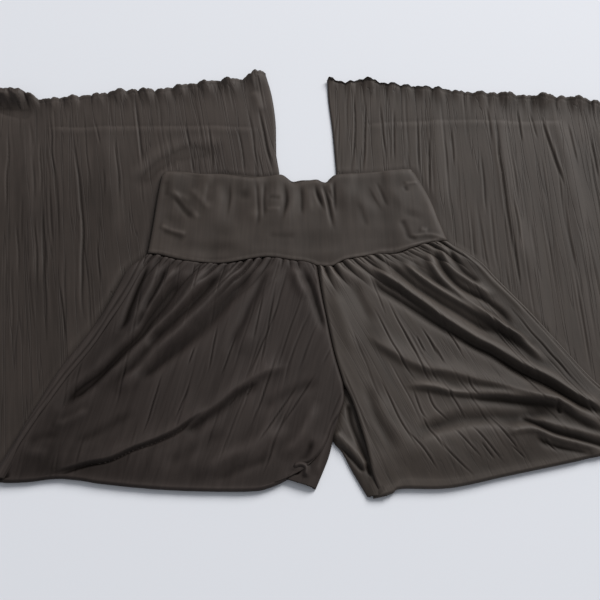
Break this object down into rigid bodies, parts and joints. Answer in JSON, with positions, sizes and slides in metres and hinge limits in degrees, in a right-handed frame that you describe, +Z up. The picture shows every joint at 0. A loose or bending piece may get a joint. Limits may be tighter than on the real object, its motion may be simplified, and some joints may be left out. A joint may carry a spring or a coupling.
{
  "type": "palazzo pants",
  "caption": "Wide-legged palazzo pants in dark pleated jersey with a deep plain waistband, lying folded flat with both legs folded under at the thigh.",
  "frame": {"origin": "on the ground, in the middle of the folded garment's outline", "axes": "+X across the pants towards the wearer's left leg, +Y from the folded edge towards the hems, +Z up out of the cloth"},
  "size_m": [1.165, 0.692, 0.0202],
  "materials": {
    "pleated_jersey": "thin matt knitted jersey in a dark taupe, with fine irregular pressed pleats",
    "band_jersey": "smooth doubled knitted jersey in the same dark taupe, matt with a faint sheen"
  },
  "bodies": {
    "root": {"waistband_front": "band_jersey", "waistband_back": "band_jersey", "front_leg_left": "pleated_jersey", "front_leg_right": "pleated_jersey", "back_leg_left": "pleated_jersey", "back_leg_right": "pleated_jersey", "hidden_layers": "pleated_jersey"}
  },
  "joints": []
}
